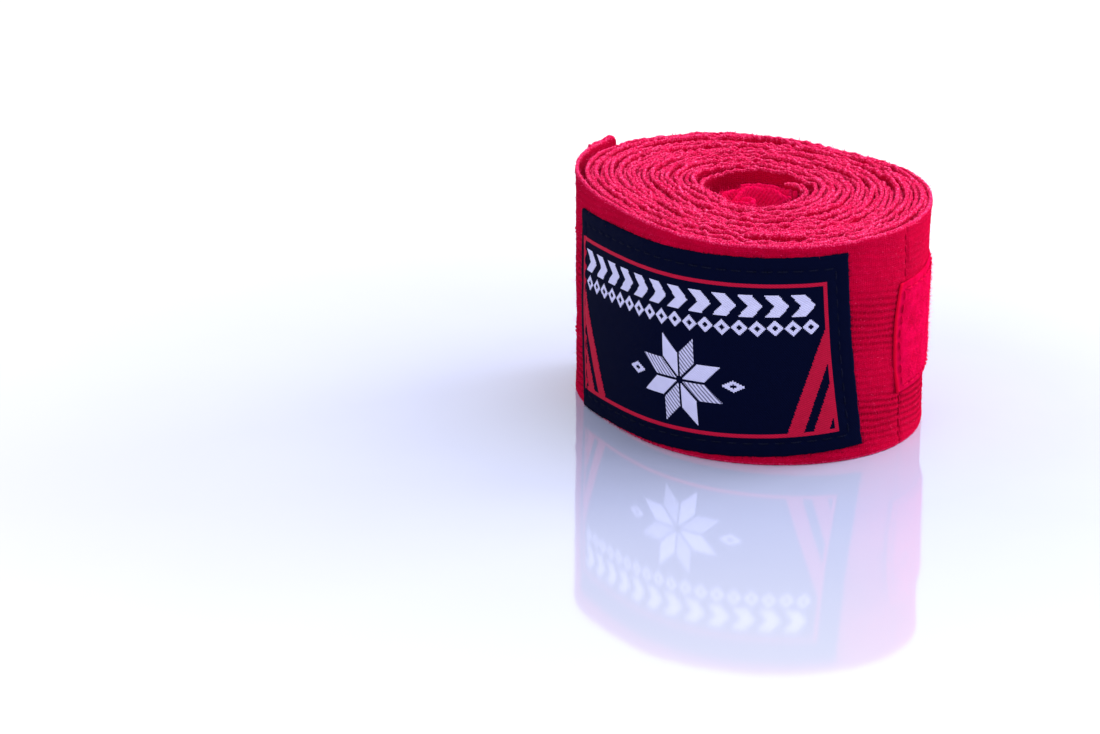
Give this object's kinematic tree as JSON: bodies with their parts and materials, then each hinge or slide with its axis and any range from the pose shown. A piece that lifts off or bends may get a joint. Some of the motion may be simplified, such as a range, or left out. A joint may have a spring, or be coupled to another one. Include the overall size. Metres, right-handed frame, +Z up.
{
  "type": "hand wrap",
  "caption": "Rolled elastic cotton hand wrap with hook-and-loop end, sewn woven label on the outer turn and a thumb loop tucked in the core.",
  "frame": {"origin": "on the roll's winding axis, in the plane of the lower selvedge it stands on", "axes": "+Z up along the winding axis, -Y out of the middle of the label, +X to the right as the label is faced"},
  "size_m": [0.0858, 0.0727, 0.05],
  "materials": {
    "strip_fabric": "matt herringbone elastic cotton",
    "label_weave": "dense satin woven label, dark navy ground",
    "dark_thread": "polyester sewing thread",
    "red_thread": "polyester sewing thread",
    "loop_pile": "brushed loop pile",
    "hook_base": "nylon hook tape, slight sheen",
    "loop_webbing": "matt cotton webbing"
  },
  "bodies": {
    "roll": {"wound_strip": "strip_fabric", "core_hem": "strip_fabric", "loop_tape": "loop_pile", "loop_tape_stitching": "red_thread", "cross_seam_stitching": "red_thread"},
    "label_flap": {"label_panel": "strip_fabric", "label_patch": "label_weave", "label_stitching": "dark_thread"},
    "free_end": {"end_tab": "strip_fabric", "end_hem": "strip_fabric", "end_hem_stitching": "red_thread", "hook_tape": "hook_base", "hook_tape_stitching": "red_thread"},
    "thumb_loop": {"thumb_loop": "loop_webbing", "thumb_loop_tail": "loop_webbing", "thumb_loop_stitching": "red_thread"}
  },
  "joints": [
    {"name": "label_flap_peel", "type": "hinge", "parent": "roll", "child": "label_flap", "pos_m": [0.03767, -0.01597, 0.025], "axis": [0, 0, 1], "range_deg": [0, 90]},
    {"name": "free_end_peel", "type": "hinge", "parent": "label_flap", "child": "free_end", "pos_m": [-0.03329, -0.01782, 0.025], "axis": [0, 0, 1], "range_deg": [0, 75]},
    {"name": "thumb_loop_pull", "type": "slide", "parent": "roll", "child": "thumb_loop", "axis": [0, 0, 1], "range_m": [0, 0.032]}
  ]
}
